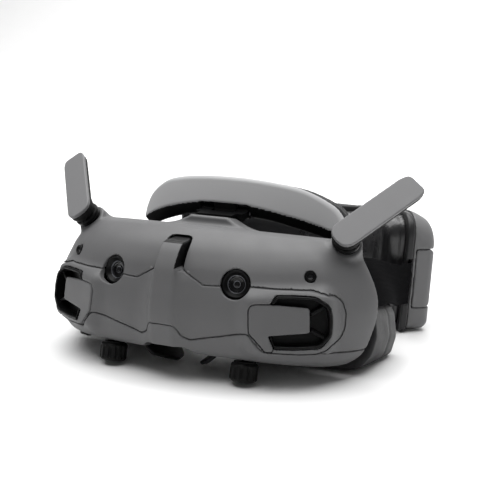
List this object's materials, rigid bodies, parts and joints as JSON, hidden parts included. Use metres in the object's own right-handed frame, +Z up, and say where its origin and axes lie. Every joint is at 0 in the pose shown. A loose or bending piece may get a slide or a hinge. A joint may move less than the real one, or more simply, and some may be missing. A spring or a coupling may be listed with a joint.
{
  "type": "fpv goggles",
  "caption": "Drone goggles: a wide visor with front cameras, side vents, swivelling antennas, adjustable eyepieces, a hinged forehead pad and a curved battery pack on webbing.",
  "frame": {"origin": "centre of the bounding box on the surface the goggles stand on", "axes": "+Z up, the front faces -Y, +X is the wearer's left"},
  "size_m": [0.1924, 0.1792, 0.0882],
  "materials": {
    "gray_shell": "fine matte texture",
    "pad_gray": "fine matte texture",
    "light_gray": "fine matte texture",
    "black_plastic": "satin",
    "black_rubber": "matte",
    "soft_gray": "smooth coated foam",
    "webbing": "woven",
    "dark_glass": "coated",
    "steel": "brushed",
    "circuit_board": "solder mask",
    "cell_wrap": "shrink wrap"
  },
  "bodies": {
    "visor": {"upper_shell": "gray_shell", "front_cover": "gray_shell", "lower_shell": "gray_shell", "rear_housing": "black_plastic", "face_frame": "black_plastic", "face_cushion": "soft_gray", "main_board": "circuit_board", "fan_housing": "black_plastic", "left_nose_flap": "black_rubber", "right_nose_flap": "black_rubber", "left_vent_cover": "gray_shell", "right_vent_cover": "gray_shell", "left_vent_trim": "black_plastic", "right_vent_trim": "black_plastic", "left_camera_bezel": "black_plastic", "right_camera_bezel": "black_plastic", "left_camera_lens": "dark_glass", "right_camera_lens": "dark_glass", "left_sensor": "black_plastic", "right_sensor": "black_plastic", "left_antenna_neck": "gray_shell", "right_antenna_neck": "gray_shell", "pad_bracket": "black_plastic", "pad_hinge_pin": "steel", "left_webbing": "webbing", "right_webbing": "webbing"},
    "battery_pack": {"pack_liner": "black_plastic", "pack_shell": "gray_shell", "pack_cushion": "soft_gray", "pack_cells": "cell_wrap", "pack_board": "circuit_board", "pack_left_panel": "light_gray", "pack_right_panel": "light_gray"},
    "forehead_pad": {"pad_shell": "pad_gray", "pad_cushion": "soft_gray"},
    "fan_rotor": {"fan_rotor": "black_plastic"},
    "power_button": {"power_button": "light_gray"},
    "five_way_button": {"five_way_button": "black_plastic"},
    "back_button": {"back_button": "black_plastic"},
    "left_antenna": {"left_antenna_blade": "light_gray", "left_antenna_back": "gray_shell"},
    "left_carriage": {"left_carriage": "black_plastic", "left_display": "dark_glass"},
    "left_eyepiece": {"left_eyepiece": "black_plastic", "left_eyepiece_lens": "dark_glass"},
    "left_knob": {"left_knob": "black_rubber"},
    "right_antenna": {"right_antenna_blade": "light_gray", "right_antenna_back": "gray_shell"},
    "right_carriage": {"right_carriage": "black_plastic", "right_display": "dark_glass"},
    "right_eyepiece": {"right_eyepiece": "black_plastic", "right_eyepiece_lens": "dark_glass"},
    "right_knob": {"right_knob": "black_rubber"}
  },
  "joints": [
    {"name": "headband_length", "type": "slide", "parent": "visor", "child": "battery_pack", "axis": [0, 1, 0], "range_m": [0, 0.03], "deforming": ["left_webbing", "right_webbing"]},
    {"name": "pad_tilt", "type": "hinge", "parent": "visor", "child": "forehead_pad", "pos_m": [0, -0.0238, 0.0665], "axis": [1, 0, 0], "range_deg": [-6, 40]},
    {"name": "fan_spin", "type": "hinge", "parent": "visor", "child": "fan_rotor", "pos_m": [0, -0.04865, 0.04695], "axis": [0, -0.9703, 0.2419], "continuous": true},
    {"name": "left_antenna_swivel", "type": "hinge", "parent": "visor", "child": "left_antenna", "pos_m": [0.0702, -0.0457, 0.0658], "axis": [0.2851, -0.6702, 0.6852], "range_deg": [-20, 120]},
    {"name": "left_pupil_slide", "type": "slide", "parent": "visor", "child": "left_carriage", "axis": [1, 0, 0], "range_m": [-0.006, 0.001]},
    {"name": "left_dioptre_turn", "type": "hinge", "parent": "left_carriage", "child": "left_knob", "pos_m": [0.034, -0.07453, 0.00599], "axis": [0, 0.2419, 0.9703], "range_deg": [-120, 120]},
    {"name": "left_focus", "type": "slide", "parent": "left_carriage", "child": "left_eyepiece", "axis": [0, 0.9703, -0.2419], "range_m": [-0.0025, 0.0025]},
    {"name": "right_antenna_swivel", "type": "hinge", "parent": "visor", "child": "right_antenna", "pos_m": [-0.0702, -0.0457, 0.0658], "axis": [0.2851, 0.6702, -0.6852], "range_deg": [-20, 120]},
    {"name": "right_pupil_slide", "type": "slide", "parent": "visor", "child": "right_carriage", "axis": [-1, 0, 0], "range_m": [-0.006, 0.001]},
    {"name": "right_dioptre_turn", "type": "hinge", "parent": "right_carriage", "child": "right_knob", "pos_m": [-0.034, -0.07453, 0.00599], "axis": [0, 0.2419, 0.9703], "range_deg": [-120, 120]},
    {"name": "right_focus", "type": "slide", "parent": "right_carriage", "child": "right_eyepiece", "axis": [0, 0.9703, -0.2419], "range_m": [-0.0025, 0.0025]},
    {"name": "five_way_button_press", "type": "slide", "parent": "visor", "child": "five_way_button", "axis": [0, 0.2419, 0.9703], "range_m": [0, 0.0008], "stiffness_N_per_m": 600},
    {"name": "back_button_press", "type": "slide", "parent": "visor", "child": "back_button", "axis": [0, 0.2419, 0.9703], "range_m": [0, 0.0008], "stiffness_N_per_m": 600},
    {"name": "power_button_press", "type": "slide", "parent": "battery_pack", "child": "power_button", "axis": [0.1908, -0.9816, 0], "range_m": [0, 0.0006], "stiffness_N_per_m": 600}
  ],
  "couplings": [
    {"joint": "left_dioptre_turn", "follows": "left_focus", "rad_per_m": 837},
    {"joint": "right_dioptre_turn", "follows": "right_focus", "rad_per_m": -837}
  ]
}
